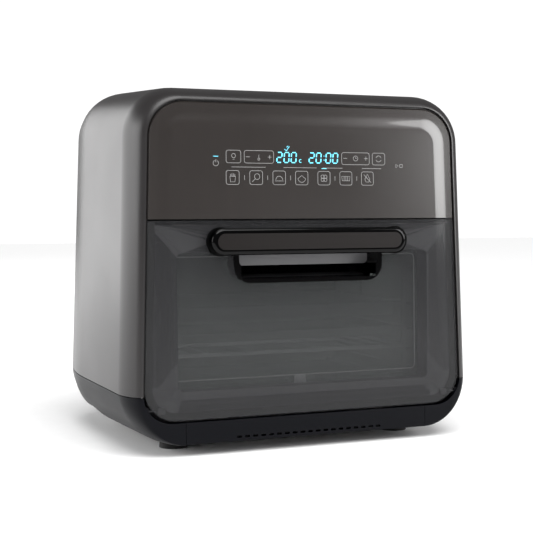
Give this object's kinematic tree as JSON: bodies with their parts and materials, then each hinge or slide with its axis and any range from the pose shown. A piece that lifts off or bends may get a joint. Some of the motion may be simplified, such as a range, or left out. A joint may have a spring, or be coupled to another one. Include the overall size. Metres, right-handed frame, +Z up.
{
  "type": "toaster oven",
  "caption": "Countertop digital toaster oven with air-fry fan, drop-down smoked door, recessed pull handle and touch control panel.",
  "frame": {"origin": "on the table, under the middle of the oven's box", "axes": "+X the oven's right seen from the front, +Y its back, +Z up"},
  "size_m": [0.377, 0.2867, 0.359],
  "materials": {
    "housing_plastic": "satin dark grey",
    "base_plastic": "satin black",
    "rubber": "matt black",
    "dark_steel": "satin black paint",
    "smoked_panel": "smoked gloss",
    "smoked_lens": "smoked transparent gloss",
    "inner_glass": "clear tempered glass",
    "black_gloss": "piano black",
    "inlay": "fine satin brown grey",
    "frame_plastic": "matt black",
    "galvanised": "plain sheet",
    "liner_enamel": "grey enamel, slightly speckled",
    "chrome_wire": "bright",
    "heater": "dark oxidised tube",
    "aluminium": "stamped",
    "wool": "mineral wool",
    "silicone": "matt silicone",
    "circuit": "solder-mask green",
    "screw_steel": "zinc plated",
    "lamp_glass": "frosted"
  },
  "bodies": {
    "body": {"housing_shell": "housing_plastic", "base_shell": "base_plastic", "front_lower_trim": "base_plastic", "bottom_pan": "dark_steel", "rubber_feet": "rubber", "rear_cover": "dark_steel", "cord_gland": "rubber", "control_panel_lens": "smoked_panel", "control_panel_frame": "frame_plastic", "display_module": "black_gloss", "control_board": "circuit", "front_frame": "dark_steel", "door_seal": "silicone", "strike_plates": "galvanised", "cavity_liner": "liner_enamel", "fan_guard": "liner_enamel", "heating_element": "heater", "element_clips": "galvanised", "fan_shroud": "galvanised", "fan_motor": "dark_steel", "motor_bracket": "galvanised", "thermal_fuse": "frame_plastic", "temperature_probe": "chrome_wire", "power_board": "circuit", "oven_lamp": "galvanised", "lamp_lens": "lamp_glass", "rotisserie_motor": "galvanised", "spit_rest": "galvanised", "rack_guide_left": "liner_enamel", "rack_guide_right": "liner_enamel", "air_fry_basket": "dark_steel", "baking_tray": "liner_enamel", "wire_rack": "chrome_wire", "crumb_tray": "aluminium", "insulation_left": "wool", "insulation_right": "wool", "insulation_rear": "wool", "cover_screws": "screw_steel"},
    "door": {"door_outer_lens": "smoked_lens", "door_frame": "frame_plastic", "door_inner_glass": "inner_glass", "glass_clips": "galvanised", "handle_cup": "black_gloss", "handle_bar": "black_gloss", "handle_inlay": "inlay", "handle_screws": "screw_steel", "hinge_pins": "screw_steel", "door_magnets": "dark_steel"},
    "fan_rotor": {"fan_impeller": "galvanised", "fan_shaft": "screw_steel", "cooling_fan": "galvanised"},
    "spit_drive": {"drive_coupler": "screw_steel"}
  },
  "joints": [
    {"name": "door_hinge", "type": "hinge", "parent": "body", "child": "door", "pos_m": [0, -0.13408, 0.046], "axis": [1, 0, 0], "range_deg": [0, 90]},
    {"name": "fan_spin", "type": "hinge", "parent": "body", "child": "fan_rotor", "pos_m": [0, -0.00096, 0.25], "axis": [0, 0, 1], "continuous": true},
    {"name": "spit_turn", "type": "hinge", "parent": "body", "child": "spit_drive", "pos_m": [0.15, -0.02096, 0.124], "axis": [1, 0, 0], "continuous": true}
  ]
}
